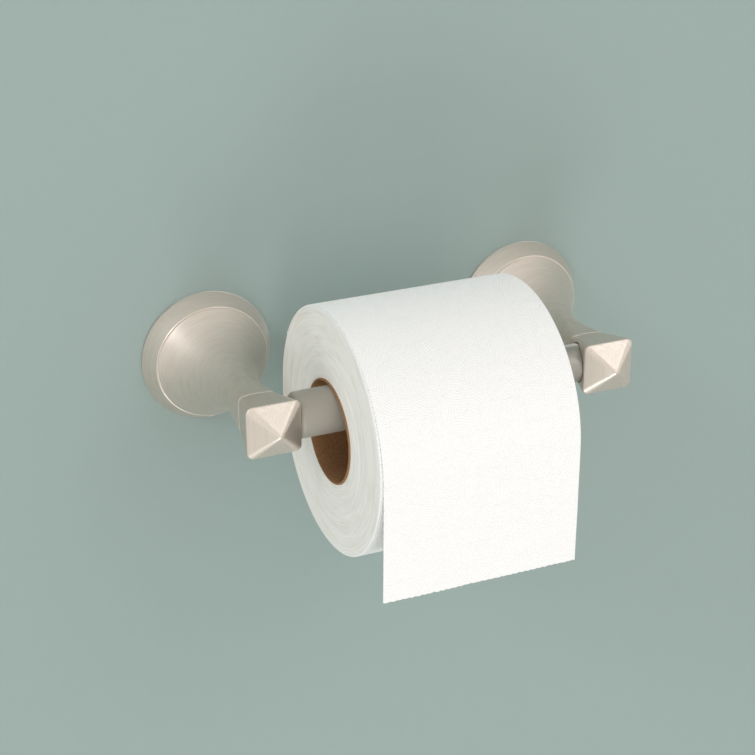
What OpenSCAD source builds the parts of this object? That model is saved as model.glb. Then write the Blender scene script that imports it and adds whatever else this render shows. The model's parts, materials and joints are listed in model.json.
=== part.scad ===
// Two-post toilet paper holder with a sprung roller and a loaded paper roll.
// Frame: X along the roller, -Y away from the wall, +Z up. The origin lies on the wall,
// half way between the two posts and level with their centres. Millimetres.

/* [Overall] */
// Distance between the centres of the two posts
post_spacing = 166; // [138:1:200]
// Distance from the wall to the tip of each head
projection = 98; // [84:1:118]

/* [Wall flanges] */
// Outside diameter of a flange where it meets the wall
flange_d = 64; // [56:1:77]
// Height of a flange above the wall
flange_h = 9.4; // [8.6:0.1:12]
// Width of the flange's band outside the post's foot
band_w = 5; // [4:0.1:6]
// Wall thickness of the die castings
cast_wall = 2.6; // [2:0.1:3]

/* [Heads] */
// Width of a head across its front rim
head_w = 25.6; // [22:0.2:31]
// Height of a head across its front rim
head_h = 24.8; // [21:0.2:29]
// Width and height of a head at its waist, where it leaves the neck
waist_w = 17.8; // [16:0.1:21]
// Length of a head from its waist to its front rim
head_len = 23; // [20:0.5:27]
// Height of the four-sided point in front of the rim
point_h = 8; // [5:0.5:11]
// Corner radius of a head
head_corner_r = 3.2; // [2.4:0.1:4]

/* [Roller] */
// Outside diameter of the roller's wide left half
sleeve_d = 21.3; // [18:0.1:25.6]
// How much smaller the sliding right half is in radius
roller_step = 1.55; // [1.3:0.05:2]
// Distance from the roller's axis to the heads' front rims
roller_setback = 10.5; // [9.5:0.5:12]
// Diameter of the tip on each end of the roller
tip_d = 11; // [9:0.5:13]

/* [Paper] */
// Inside diameter of the cardboard core
core_bore_d = 46.6; // [38:0.2:48]
// Thickness of the cardboard
core_wall = 1; // [0.6:0.1:1.5]
// Outside diameter of the paper roll
roll_d = 114.4; // [80:0.2:137.4]
// Width of the paper
paper_w = 94.8; // [80:0.2:112]
// How far the roll sits towards the left post
roll_shift = 5.5; // [0:0.1:6]
// How much nearer to the wall the roll's axis hangs than the roller's
roll_lean = 2.2; // [0:0.1:3]
// How far the loose sheet sits to the right of the roll's middle
sheet_shift = 1.5; // [0:0.1:2]
// Length of sheet that hangs free below the roll's front
tail_len = 58; // [20:0.2:120]

/* [Wall brackets] */
// Thickness of a bracket
bracket_h = 7; // [6:0.1:7.5]
// Height between a bracket's two screws
screw_pitch = 24; // [22:1:26]
// Diameter of a wall screw's shank
wall_screw_d = 4; // [3.5:0.1:4.5]
// Length of a wall screw behind the wall's surface
wall_screw_len = 26; // [20:1:40]
// Diameter of a set screw
set_screw_d = 4; // [3:0.5:5]

/* [Clearances] */
// Gap between pieces that only touch, on different bodies
touch_gap = 0.3; // [0.2:0.05:0.6]
// Radial gap between the roller's two halves
slide_gap = 0.15; // [0.1:0.05:0.3]
// Radial gap of a tip in its socket liner
tip_gap = 0.3; // [0.2:0.05:0.6]
// Gap between pieces that are fitted together for good
fit_gap = 0.05; // [0.02:0.01:0.1]

/* [Hidden] */
$fn = 64;

LEFT = -1;
RIGHT = 1;

// Post: depths are measured from the wall along -Y
rim_depth = projection - point_h;
waist_depth = rim_depth - head_len;
waist_r = waist_w / 2;
flange_r = flange_d / 2;
foot_r = flange_r - band_w;
foot_step = 0.6;
foot_inset = 0.3;
foot_top = flange_h + foot_step;
// The trumpet reaches the waist's width this far before the waist
straight_neck = 12;
trumpet_end = waist_depth - straight_neck;
trumpet_power = 1.9;
// The neck is round for this share of the way out, then turns square
round_share = 0.367;
round_depth = projection * round_share;
plug_depth = 5;
plug_inset = 1;
facet_inset = 0.06;
corner_segments = 8;
neck_steps = 9;
flare_steps = 7;
flare_power = 1.2;
flare_inset = 0.15;
flare_corner_r = 3;
rim_round_r = 0.8;
rim_round_angle = 56;
point_flat = 0.5;
// A crisp crease runs round the back of the head
crease_len = 0.8;
crease_corner_r = 4.5;

// Foot of the post inside the flange, and the hollow behind it
spigot_gap = 0.2;
spigot_wall = 2.2;
flange_bore_r = foot_r - 2.4;
spigot_r = flange_bore_r - spigot_gap;
cavity_r = spigot_r - spigot_wall;
cavity_step_depth = 8.2;
hollow_start = 1;
hollow_share = 0.45;
hollow_depth = projection * hollow_share;

// Flange ring
edge_h = 0.8;
crown_out = 0.5;
crown_drop = 0.25;
crown_flat = 0.2;
groove_wall = 1.8;
groove_roof = 3.2;
groove_roof_out = 0.4;
groove_edge = 2;

// Roller: the sliding half leaves a wall of metal round the recess it runs into
roller_depth = rim_depth - roller_setback;
head_half_h = waist_r + (head_h / 2 - waist_r) * pow((roller_depth - waist_depth) / head_len, flare_power);
recess_gap = 0.35;
recess_wall = 0.8;
sleeve_r = sleeve_d / 2;
plunger_r = min(sleeve_r - roller_step, head_half_h - recess_wall - recess_gap);
tip_r = tip_d / 2;
liner_t = 0.8;
recess_r = plunger_r + recess_gap;
// Every distance below is measured from the middle of the holder along X
head_side_x = post_spacing / 2 - head_w / 2;
recess_depth = 4.2;
recess_x = head_side_x + recess_depth;
liner_x = recess_x - liner_t;
roller_end_gap = 0.4;
roller_end_x = liner_x - roller_end_gap;
tip_len = 5.8;
tip_end_x = roller_end_x + tip_len;
tip_end_gap = 0.6;
liner_bore_x = tip_end_x + tip_end_gap;
liner_end_x = liner_bore_x + liner_t;
liner_bore_r = tip_r + tip_gap;
liner_r = liner_bore_r + liner_t;
// The sleeve's rounded end reaches past the head's side only as far as it clears the rim
sleeve_reach = 2;
sleeve_end_x = head_side_x + max(-touch_gap, sleeve_reach - (sleeve_r - recess_r));
sleeve_shoulder_len = 3;
sleeve_shoulder_drop = 4.4;
sleeve_edge = 0.4;
sleeve_open_x = 28;
sleeve_bore_r = plunger_r + slide_gap;
sleeve_end_wall = 6;
sleeve_floor_x = -roller_end_x + sleeve_end_wall;
plunger_inner_x = -6;
plunger_wall = 1.5;
plunger_edge = 0.5;
plunger_end_wall = 4;
plunger_core_r = 4.6;
spring_pocket_x = 24;
tip_chamfer = 0.6;

// Spring
spring_turns = 17;
spring_wire_r = 0.6;
spring_gap = 0.4;
spring_coil_r = plunger_r - plunger_wall - spring_wire_r - spring_gap;
spring_turn_steps = 14;
spring_sides = 6;
// The last turn at each end lies nearly flat
spring_flat_share = 1 / spring_turns;
spring_flat_rise = 0.02;

// Paper
core_r = core_bore_d / 2;
paper_gap = 0.05;
roll_r = roll_d / 2;
// The core's top rests on the roller, so the roll hangs below it
roll_hang = core_r - sleeve_r - touch_gap;
roll_z = -sqrt(roll_hang * roll_hang - roll_lean * roll_lean);
roll_depth = roller_depth - roll_lean;
sheet_t = 0.5;
sheet_depth = roll_depth + roll_r + touch_gap;

// Brackets and screws
bracket_play = 0.8;
bracket_r = cavity_r - bracket_play;
bracket_undercut = 1.2;
bracket_lip_h = 2;
bracket_rim_h = 0.8;
bracket_pocket_r = 6.5;
bracket_slope = bracket_undercut / (bracket_h - bracket_rim_h - bracket_lip_h);
set_screw_r = set_screw_d / 2;
set_screw_depth = 4.6;
set_screw_reach = 3.2;
set_screw_point = 1.4;
set_screw_flat_r = 0.4;
set_screw_play = 0.4;
hex_r = 1.15;
hex_depth = 2;
wall_screw_r = wall_screw_d / 2;
wall_screw_neck_r = wall_screw_r - 0.2;
screw_tip_r = 0.4;
screw_hole_r = wall_screw_r + 0.3;
screw_head_r = wall_screw_r * 2;
screw_head_h = 2.4;
screw_head_edge = 0.8;
screw_head_drop = 0.3;
screw_crown_edge = 1.8;
screw_seat_depth = 3;
screw_seat_r = screw_head_r + 0.4;
screw_point = 4;
screw_slot_w = 1;
screw_slot_len = 4.2;
screw_slot_depth = 1.4;
screw_edge_wall = 1.2;
screw_z = min(screw_pitch / 2, bracket_r - bracket_undercut - screw_seat_r - screw_edge_wall);
past = 1;

// Radius of the round trumpet at a depth
function trumpet_r(depth) =
    let (left = max(0, 1 - (depth - foot_top) / (trumpet_end - foot_top)))
    waist_r + (foot_r - foot_inset - waist_r) * pow(left, trumpet_power);

function between(a, b, t) = a + (b - a) * t;

// One point of a rounded rectangle with half sizes w and h and corner radius r
function outline_point(w, h, r, i) =
    let (
        corner = floor(i / corner_segments),
        angle = (i + 0.5) * 90 / corner_segments,
        sx = corner == 0 || corner == 3 ? 1 : -1,
        sz = corner < 2 ? 1 : -1
    )
    [sx * (w - r) + r * cos(angle), sz * (h - r) + r * sin(angle)];

// Sections of the post in front of its round part, each [depth, half width, half height, corner]
plug_r = trumpet_r(round_depth) - plug_inset;
plug_section = [[round_depth - plug_depth, plug_r, plug_r, plug_r]];
neck_sections = [for (i = [0 : neck_steps])
    let (
        t = i / neck_steps,
        depth = between(round_depth, waist_depth - crease_len, t),
        r = trumpet_r(depth) - facet_inset
    )
    [depth, r, r, between(r, crease_corner_r, t * t)]];
flare_sections = [for (i = [0 : flare_steps])
    let (
        t = i / flare_steps,
        flare = pow(t, flare_power)
    )
    [between(waist_depth, rim_depth - rim_round_r, t),
        between(waist_r - flare_inset, head_w / 2, flare),
        between(waist_r - flare_inset, head_h / 2, flare),
        between(flare_corner_r, head_corner_r, t)]];
rim_sections = [for (angle = [rim_round_angle / 3 : rim_round_angle / 3 : rim_round_angle])
    let (inset = rim_round_r * (1 - cos(angle)))
    [rim_depth - rim_round_r * (1 - sin(angle)), head_w / 2 - inset, head_h / 2 - inset,
        head_corner_r - inset]];
point_section = [[projection, point_flat, point_flat, point_flat / 2]];
post_sections = concat(plug_section, neck_sections, flare_sections, rim_sections, point_section);

// Solid through a list of sections that follow each other along -Y
module loft(sections) {
    ring = 4 * corner_segments;
    last = len(sections) - 1;
    points = [for (s = sections) for (i = [0 : ring - 1])
        let (p = outline_point(s[1], s[2], s[3], i))
        [p[0], -s[0], p[1]]];
    sides = [for (k = [0 : last - 1]) for (i = [0 : ring - 1])
        let (j = (i + 1) % ring)
        [k * ring + i, (k + 1) * ring + i, (k + 1) * ring + j, k * ring + j]];
    triangles = [for (q = sides) each [[q[0], q[1], q[2]], [q[0], q[2], q[3]]]];
    back = [[for (i = [0 : ring - 1]) i]];
    front = [[for (i = [ring - 1 : -1 : 0]) last * ring + i]];
    polyhedron(points = points, faces = concat(triangles, back, front));
}

// Turned solid about the post's axis: points are [radius, depth]
module turned(points) {
    rotate([90, 0, 0]) rotate_extrude() polygon(points);
}

// Round bar along X from one distance to another
module bar_x(r, from_x, to_x) {
    translate([from_x, 0, 0]) rotate([0, 90, 0]) cylinder(r = r, h = to_x - from_x);
}

// Turned solid about the roller's axis: points are [radius, x]
module turned_x(points) {
    rotate([0, 90, 0]) rotate_extrude() polygon(points);
}

module at_post(side) {
    translate([side * post_spacing / 2, 0, 0]) children();
}

module at_roller() {
    translate([0, -roller_depth, 0]) children();
}

// --- Posts --------------------------------------------------------------------------------

module post_foot() {
    round_steps = 11;
    outline = [for (i = [0 : round_steps])
        let (depth = between(foot_top, round_depth, i / round_steps))
        [trumpet_r(depth), depth]];
    turned(concat([[0, spigot_gap], [spigot_r, spigot_gap], [spigot_r, flange_h],
        [foot_r, flange_h], [foot_r, foot_top - foot_inset / 2],
        [foot_r - foot_inset / 3, foot_top]],
        outline, [[0, round_depth]]));
}

module post_hollow() {
    hollow_steps = 6;
    outline = [for (i = [0 : hollow_steps])
        let (depth = between(foot_top + hollow_start, hollow_depth, i / hollow_steps))
        [trumpet_r(depth) - cast_wall, depth]];
    turned(concat([[0, -past], [cavity_r, -past], [cavity_r, cavity_step_depth]], outline,
        [[0, hollow_depth]]));
}

// Round recess and liner socket in the head's inner face
module socket_cut(side) {
    inner_face = head_w / 2 + past;
    translate([0, -roller_depth, 0]) {
        if (side == LEFT) {
            bar_x(recess_r, post_spacing / 2 - recess_x, inner_face);
            bar_x(liner_r + fit_gap, post_spacing / 2 - liner_end_x - fit_gap, inner_face);
        } else {
            bar_x(recess_r, -inner_face, recess_x - post_spacing / 2);
            bar_x(liner_r + fit_gap, -inner_face, liner_end_x + fit_gap - post_spacing / 2);
        }
    }
}

module set_screw_bore(r) {
    translate([0, -set_screw_depth, -flange_r - past])
        cylinder(r = r, h = flange_r - cavity_r + 2 * past);
}

module post(side) {
    color("#b8ada0") at_post(side) difference() {
        union() {
            post_foot();
            loft(post_sections);
        }
        post_hollow();
        socket_cut(side);
        set_screw_bore(set_screw_r + fit_gap);
    }
}

module left_post() {
    post(LEFT);
}

module right_post() {
    post(RIGHT);
}

// --- Flanges ------------------------------------------------------------------------------

module flange(side) {
    groove_depth = flange_h - groove_roof;
    groove_r = flange_bore_r + groove_wall;
    groove_roof_r = foot_r + groove_roof_out;
    color("#b8ada0") at_post(side) difference() {
        turned([[flange_bore_r, 0], [groove_r, 0], [groove_r, groove_depth],
            [groove_roof_r, groove_depth], [flange_r - groove_edge, 0], [flange_r, 0],
            [flange_r, edge_h], [foot_r + crown_out, flange_h - crown_drop],
            [foot_r + crown_flat, flange_h], [flange_bore_r, flange_h]]);
        set_screw_bore(set_screw_r + set_screw_play);
    }
}

module left_flange() {
    flange(LEFT);
}

module right_flange() {
    flange(RIGHT);
}

// --- Wall brackets and their screws -------------------------------------------------------

module screw_places() {
    for (z = [-screw_z, screw_z]) translate([0, 0, z]) children();
}

module bracket(side) {
    color("#9fa3a6") at_post(side) difference() {
        turned([[0, 0], [bracket_r - bracket_undercut, 0],
            [bracket_r - bracket_undercut, bracket_lip_h], [bracket_r, bracket_h - bracket_rim_h],
            [bracket_r, bracket_h], [bracket_pocket_r, bracket_h],
            [bracket_pocket_r, screw_seat_depth], [0, screw_seat_depth]]);
        screw_places() rotate([90, 0, 0]) {
            translate([0, 0, -past]) cylinder(r = screw_hole_r, h = bracket_h + 2 * past);
            translate([0, 0, screw_seat_depth]) cylinder(r = screw_seat_r, h = bracket_h);
        }
    }
}

module left_bracket() {
    bracket(LEFT);
}

module right_bracket() {
    bracket(RIGHT);
}

// The set screw's cone point bears on the bracket's undercut edge
module set_screw(side) {
    bearing_r = bracket_r - bracket_undercut + bracket_slope * (set_screw_depth - bracket_lip_h);
    screw_len = spigot_r + set_screw_reach - bearing_r;
    shank = screw_len - set_screw_point;
    color("#4a4c50") at_post(side)
        translate([0, -set_screw_depth, -bearing_r - 2 * fit_gap - screw_len]) {
            difference() {
                cylinder(r = set_screw_r, h = shank);
                translate([0, 0, -past]) cylinder(r = hex_r, h = hex_depth + past, $fn = 6);
            }
            translate([0, 0, shank])
                cylinder(r1 = set_screw_r, r2 = set_screw_flat_r, h = set_screw_point - 2 * fit_gap);
        }
}

module left_set_screw() {
    set_screw(LEFT);
}

module right_set_screw() {
    set_screw(RIGHT);
}

module wall_screw() {
    seat = screw_seat_depth + fit_gap;
    top = seat + screw_head_h;
    difference() {
        turned([[0, -wall_screw_len], [screw_tip_r, -wall_screw_len],
            [wall_screw_r, screw_point - wall_screw_len], [wall_screw_r, 0],
            [wall_screw_neck_r, 0], [wall_screw_neck_r, seat], [screw_head_r, seat],
            [screw_head_r, seat + screw_head_h / 2],
            [screw_head_r - screw_head_edge, top - screw_head_drop],
            [screw_head_r - screw_crown_edge, top], [0, top]]);
        for (turn = [0, 90]) rotate([90, turn, 0])
            translate([-screw_slot_w / 2, -screw_slot_len / 2, top - screw_slot_depth])
                cube([screw_slot_w, screw_slot_len, screw_slot_depth + past]);
    }
}

module wall_screws(side) {
    color("#a9a79f") at_post(side) screw_places() wall_screw();
}

module left_wall_screws() {
    wall_screws(LEFT);
}

module right_wall_screws() {
    wall_screws(RIGHT);
}

// --- Socket liners ------------------------------------------------------------------------

// Thin black cup in a head's socket, with its rim on the recess floor
module socket_liner(side) {
    rim_r = recess_r - fit_gap;
    color("#17181a") at_roller() mirror([side == LEFT ? 1 : 0, 0, 0])
        turned_x([[liner_bore_r, liner_x], [rim_r, liner_x], [rim_r, recess_x - fit_gap],
            [liner_r, recess_x - fit_gap], [liner_r, liner_end_x], [0, liner_end_x],
            [0, liner_bore_x], [liner_bore_r, liner_bore_x]]);
}

module left_socket_liner() {
    socket_liner(LEFT);
}

module right_socket_liner() {
    socket_liner(RIGHT);
}

// --- Roller -------------------------------------------------------------------------------

module roller_sleeve() {
    shoulder = [for (angle = [0 : 15 : 90])
        [sleeve_r - sleeve_shoulder_drop * (1 - sin(angle)),
            -sleeve_end_x + sleeve_shoulder_len * (1 - cos(angle))]];
    color("#a3a199") at_roller()
        turned_x(concat([[0, -tip_end_x], [tip_r - tip_chamfer, -tip_end_x],
            [tip_r, -tip_end_x + tip_chamfer], [tip_r, -sleeve_end_x]], shoulder,
            [[sleeve_r, sleeve_open_x - sleeve_edge], [sleeve_r - sleeve_edge, sleeve_open_x],
            [sleeve_bore_r, sleeve_open_x], [sleeve_bore_r, sleeve_floor_x], [0, sleeve_floor_x]]));
}

module roller_plunger() {
    pocket_r = plunger_r - plunger_wall;
    plug_x = roller_end_x - plunger_end_wall;
    color("#b3b1ab") at_roller()
        turned_x([[pocket_r, plunger_inner_x], [plunger_r - plunger_edge, plunger_inner_x],
            [plunger_r, plunger_inner_x + plunger_edge], [plunger_r, roller_end_x - plunger_edge],
            [plunger_r - plunger_edge, roller_end_x], [tip_r, roller_end_x],
            [tip_r, tip_end_x - tip_chamfer], [tip_r - tip_chamfer, tip_end_x], [0, tip_end_x],
            [0, plug_x], [plunger_core_r, plug_x], [plunger_core_r, spring_pocket_x],
            [pocket_r, spring_pocket_x]]);
}

// Share of the spring's length reached at a share of its turns
function spring_rise(t) =
    t < spring_flat_share ? spring_flat_rise * t / spring_flat_share
    : t > 1 - spring_flat_share ? 1 - spring_flat_rise * (1 - t) / spring_flat_share
    : between(spring_flat_rise, 1 - spring_flat_rise,
        (t - spring_flat_share) / (1 - 2 * spring_flat_share));

// Compression spring between the sleeve's floor and the plunger's pocket
module roller_spring() {
    from_x = sleeve_floor_x + spring_wire_r + fit_gap;
    to_x = spring_pocket_x - spring_wire_r - fit_gap;
    rings = spring_turns * spring_turn_steps;
    n = spring_sides;
    points = [for (i = [0 : rings])
        let (
            turn = 360 * i / spring_turn_steps,
            x = between(from_x, to_x, spring_rise(i / rings))
        )
        for (k = [0 : n - 1])
        let (
            angle = 360 * k / n,
            r = spring_coil_r + spring_wire_r * cos(angle)
        )
        [x + spring_wire_r * sin(angle), r * cos(turn), r * sin(turn)]];
    sides = [for (i = [0 : rings - 1]) for (k = [0 : n - 1])
        let (m = (k + 1) % n)
        [i * n + k, i * n + m, (i + 1) * n + m, (i + 1) * n + k]];
    triangles = [for (q = sides) each [[q[0], q[1], q[2]], [q[0], q[2], q[3]]]];
    start = [[for (k = [n - 1 : -1 : 0]) k]];
    end = [[for (k = [0 : n - 1]) rings * n + k]];
    color("#8d9196") at_roller()
        polyhedron(points = points, faces = concat(triangles, start, end));
}

// --- Paper --------------------------------------------------------------------------------

module tube_x(outer_r, inner_r, length) {
    difference() {
        bar_x(outer_r, -length / 2, length / 2);
        bar_x(inner_r, -length / 2 - past, length / 2 + past);
    }
}

module at_roll() {
    translate([-roll_shift, -roll_depth, roll_z]) children();
}

module roll_core() {
    color("#8a6844") at_roll() tube_x(core_r + core_wall, core_r, paper_w);
}

module paper_roll() {
    color("#f4f4f2") at_roll() tube_x(roll_r, core_r + core_wall + paper_gap, paper_w);
}

module hanging_sheet() {
    left_x = sheet_shift - roll_shift - paper_w / 2;
    color("#fbfbfa") translate([left_x, -sheet_depth - sheet_t, roll_z - tail_len])
        cube([paper_w, sheet_t, tail_len]);
}

left_post();
right_post();
left_flange();
right_flange();
left_bracket();
right_bracket();
left_set_screw();
right_set_screw();
left_wall_screws();
right_wall_screws();
left_socket_liner();
right_socket_liner();
roller_sleeve();
roller_plunger();
roller_spring();
roll_core();
paper_roll();
hanging_sheet();
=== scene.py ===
"""Satin nickel toilet paper holder: two posts, a sprung roller and a loaded roll of embossed paper.

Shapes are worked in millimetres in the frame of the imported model: X along the roller, -Y out of
the wall, +Z up, with the origin on the wall half way between the posts. Depth is distance from
the wall.
"""

import json
import math

import bmesh
import bpy
import numpy as np
from mathutils import Euler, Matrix, Quaternion, Vector, noise


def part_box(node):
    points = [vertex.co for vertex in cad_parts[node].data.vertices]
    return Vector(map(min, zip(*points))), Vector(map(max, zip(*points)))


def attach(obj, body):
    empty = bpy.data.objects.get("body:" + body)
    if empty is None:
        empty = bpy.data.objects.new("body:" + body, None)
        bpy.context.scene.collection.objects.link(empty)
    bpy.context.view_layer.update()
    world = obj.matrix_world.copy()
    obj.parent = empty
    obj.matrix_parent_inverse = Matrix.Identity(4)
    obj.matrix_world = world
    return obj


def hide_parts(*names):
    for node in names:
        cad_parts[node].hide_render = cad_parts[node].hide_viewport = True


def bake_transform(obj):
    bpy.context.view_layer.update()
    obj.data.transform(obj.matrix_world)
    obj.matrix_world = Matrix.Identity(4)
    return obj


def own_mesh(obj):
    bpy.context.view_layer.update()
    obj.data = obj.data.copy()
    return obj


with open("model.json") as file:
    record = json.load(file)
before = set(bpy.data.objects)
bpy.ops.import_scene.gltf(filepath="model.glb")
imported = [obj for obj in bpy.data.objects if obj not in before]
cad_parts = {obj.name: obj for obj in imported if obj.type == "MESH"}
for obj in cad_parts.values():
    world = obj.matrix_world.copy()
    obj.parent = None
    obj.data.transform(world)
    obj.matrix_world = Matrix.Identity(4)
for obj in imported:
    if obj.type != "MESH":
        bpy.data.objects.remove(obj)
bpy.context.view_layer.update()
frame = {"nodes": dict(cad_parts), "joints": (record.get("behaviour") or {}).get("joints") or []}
MM = 0.001
TAU = 2 * math.pi


def box_mm(node):
    low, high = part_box(node)
    return low / MM, high / MM


joints = {joint["name"]: joint for joint in frame["joints"]}

# --- Sizes and places, in millimetres -------------------------------------------------------

# flanges
flange_low, flange_high = box_mm("right_flange")
post_x = (flange_low.x + flange_high.x) / 2
flange_r = (flange_high.z - flange_low.z) / 2
flange_h = -flange_low.y
band_w = 5.0
screw_depth = 4.6

# posts: a foot that stands a fine step above the flange, a trumpet, a neck and a head
foot_r = flange_r - band_w
foot_top = flange_h + 0.6
foot_inset = 0.15
apex_depth = -box_mm("right_post")[0].y
point_h = 8.0
rim_depth = apex_depth - point_h
rim_round = 1.0
head_len = 23.0
head_half_w = 12.8
head_half_h = 12.4
head_corner_r = 3.2
waist_depth = rim_depth - head_len
waist_r = 8.9
straight_neck = 12
trumpet_end = waist_depth - straight_neck
round_depth = apex_depth * 0.367
crease_depth = waist_depth + 2.3
crease_bow = 0.9

# inside the posts
hollow_depth = apex_depth * 0.45
flange_bore_r = foot_r - 2.4
spigot_r = flange_bore_r - 0.2
cavity_r = spigot_r - 2.2
cavity_depth = 8.2
cast_wall = 2.6

# roller
roller_y, roller_z = (v / MM for v in joints["roller_spin"]["pos_m"][1:])
sleeve_low, sleeve_high = box_mm("roller_sleeve")
plunger_low, plunger_high = box_mm("roller_plunger")
liner_low, liner_high = box_mm("right_socket_liner")
spring_low, spring_high = box_mm("roller_spring")
sleeve_r = (sleeve_high.z - sleeve_low.z) / 2
plunger_r = (plunger_high.z - plunger_low.z) / 2
running_gap = 0.15
tip_r = 5.5
tip_len = 5.8
tip_edge = ((0.6, 0), (0.2, 0.15), (0, 0.6))
liner_bore_r = tip_r + 0.3
liner_wall = 0.8
liner_r = liner_bore_r + liner_wall
recess_r = plunger_r + 0.35
recess_x = liner_low.x + liner_wall

# paper
roll_y, roll_z = (v / MM for v in joints["roll_spin"]["pos_m"][1:])
roll_low, roll_high = box_mm("paper_roll")
core_low, core_high = box_mm("roll_core")
roll_r = (roll_high.z - roll_low.z) / 2
core_out_r = (core_high.z - core_low.z) / 2
core_r = core_out_r - 1.0
sheet_low, sheet_high = box_mm("hanging_sheet")


# --- Shapes ---------------------------------------------------------------------------------


def span(a, b, steps):
    return [a + (b - a) * k / steps for k in range(steps + 1)]


def drift(*place):
    """Smooth noise between -1 and 1."""
    return noise.noise(Vector(place))


def smooth(thing, sharp):
    mesh = thing.data
    mesh.polygons.foreach_set("use_smooth", [True] * len(mesh.polygons))
    mesh.set_sharp_from_angle(angle=math.radians(sharp))


def made(name, points, faces, sharp=30):
    """A smooth-shaded mesh from points in millimetres, with edges sharper than an angle kept."""
    mesh = bpy.data.meshes.new(name)
    mesh.from_pydata([tuple(c * MM for c in p) for p in points], [], faces)
    form = bmesh.new()
    form.from_mesh(mesh)
    bmesh.ops.recalc_face_normals(form, faces=form.faces)
    form.to_mesh(mesh)
    form.free()
    thing = bpy.data.objects.new(name, mesh)
    bpy.context.scene.collection.objects.link(thing)
    smooth(thing, sharp)
    return thing


def rings_to_faces(count, n, closed):
    """Faces between rings of n points that follow each other, ends capped unless they join up."""
    last = count if closed else count - 1
    faces = []
    for k in range(last):
        a, b = k * n, ((k + 1) % count) * n
        for i in range(n):
            j = (i + 1) % n
            faces.append((a + i, b + i, b + j, a + j))
    if not closed:
        faces.append(tuple(range(n)))
        faces.append(tuple(range((count - 1) * n, count * n)))
    return faces


def eased(corners, steps=5):
    """A profile whose corners (radius, distance, cut-back) are rounded by that cut-back."""
    out = []
    for i, (r, d, back) in enumerate(corners):
        here = Vector((r, d))
        if back <= 0 or i in (0, len(corners) - 1):
            out.append(tuple(here))
            continue
        before = Vector(corners[i - 1][:2]) - here
        after = Vector(corners[i + 1][:2]) - here
        # a corner never takes more than its half of an edge
        start = here + before.normalized() * min(back, before.length * 0.45)
        end = here + after.normalized() * min(back, after.length * 0.45)
        for t in span(0, 1, steps):
            out.append(tuple(start.lerp(here, t).lerp(here.lerp(end, t), t)))
    return out


def turned(name, profile, axis, at=(0, 0), n=128, closed=False, ripple=None, sharp=30):
    """A lathe-turned piece about X or Y. The profile is (radius, distance along the axis)."""
    points = []
    for r, d in profile:
        for i in range(n):
            angle = TAU * i / n
            dr, dd = ripple(r, d, angle) if ripple else (0, 0)
            u = at[0] + (r + dr) * math.cos(angle)
            v = at[1] + (r + dr) * math.sin(angle)
            points.append((d + dd, u, v) if axis == "X" else (u, -(d + dd), v))
    return made(name, points, rings_to_faces(len(profile), n, closed), sharp)


def bar(name, r, start, end, n=96):
    """A round cutter between two points."""
    start, end = Vector(start), Vector(end)
    turn = (end - start).to_track_quat("Z", "Y")
    points = []
    for place in (start, end):
        for i in range(n):
            angle = TAU * i / n
            points.append(place + turn @ Vector((r * math.cos(angle), r * math.sin(angle), 0)))
    return made(name, points, rings_to_faces(2, n, False))


def cut(piece, cutters, sharp=30):
    """Machines holes into a piece."""
    for cutter in cutters:
        tool = piece.modifiers.new("cut", "BOOLEAN")
        tool.object = cutter
        tool.solver = "EXACT"
    bpy.context.view_layer.update()
    seen = piece.evaluated_get(bpy.context.evaluated_depsgraph_get())
    mesh = bpy.data.meshes.new_from_object(seen)
    piece.modifiers.clear()
    piece.data = mesh
    for cutter in cutters:
        bpy.data.objects.remove(cutter)
    smooth(piece, sharp)
    return piece


def square_ring(half_w, half_h, corner, n):
    """Points of a rounded rectangle at equal angles round its centre."""
    angles = TAU * (np.arange(n) + 0.5) / n
    c, s = np.abs(np.cos(angles)), np.abs(np.sin(angles))
    reach = np.minimum(half_w / np.maximum(c, 1e-9), half_h / np.maximum(s, 1e-9))
    kx, kz = half_w - corner, half_h - corner
    dot = c * kx + s * kz
    inside = np.maximum(dot * dot - (kx * kx + kz * kz - corner * corner), 0)
    at_corner = (reach * c > kx) & (reach * s > kz)
    reach = np.where(at_corner, dot + np.sqrt(inside), reach)
    return reach * np.cos(angles), reach * np.sin(angles)


# --- Node work ------------------------------------------------------------------------------


def colour(code):
    """sRGB hex to linear."""
    parts = [int(code[i:i + 2], 16) / 255 for i in (1, 3, 5)]
    return [c / 12.92 if c <= 0.04045 else ((c + 0.055) / 1.055) ** 2.4 for c in parts] + [1.0]


def fill(tree, node, inputs):
    """Sets or links a node's inputs, each by name or by place."""
    for key, value in inputs.items():
        if isinstance(value, bpy.types.NodeSocket):
            tree.links.new(value, node.inputs[key])
        else:
            node.inputs[key].default_value = value


def add(tree, kind, inputs=None, **settings):
    """Adds a node. Each input takes a value or another node's output. A Mix takes its two numbers
    at places 2 and 3 and its two colours at 6 and 7, and gives the mixed colour at 2."""
    node = tree.nodes.new(kind)
    for name, value in settings.items():
        setattr(node, name, value)
    fill(tree, node, inputs or {})
    return node


def begin(name):
    """An empty material with its shader: returns the material, its tree and the shader."""
    material = bpy.data.materials.new(name)
    material.use_nodes = True
    tree = material.node_tree
    tree.nodes.clear()
    shader = add(tree, "ShaderNodeBsdfPrincipled")
    add(tree, "ShaderNodeOutputMaterial", {"Surface": shader.outputs[0]})
    return material, tree, shader


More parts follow.
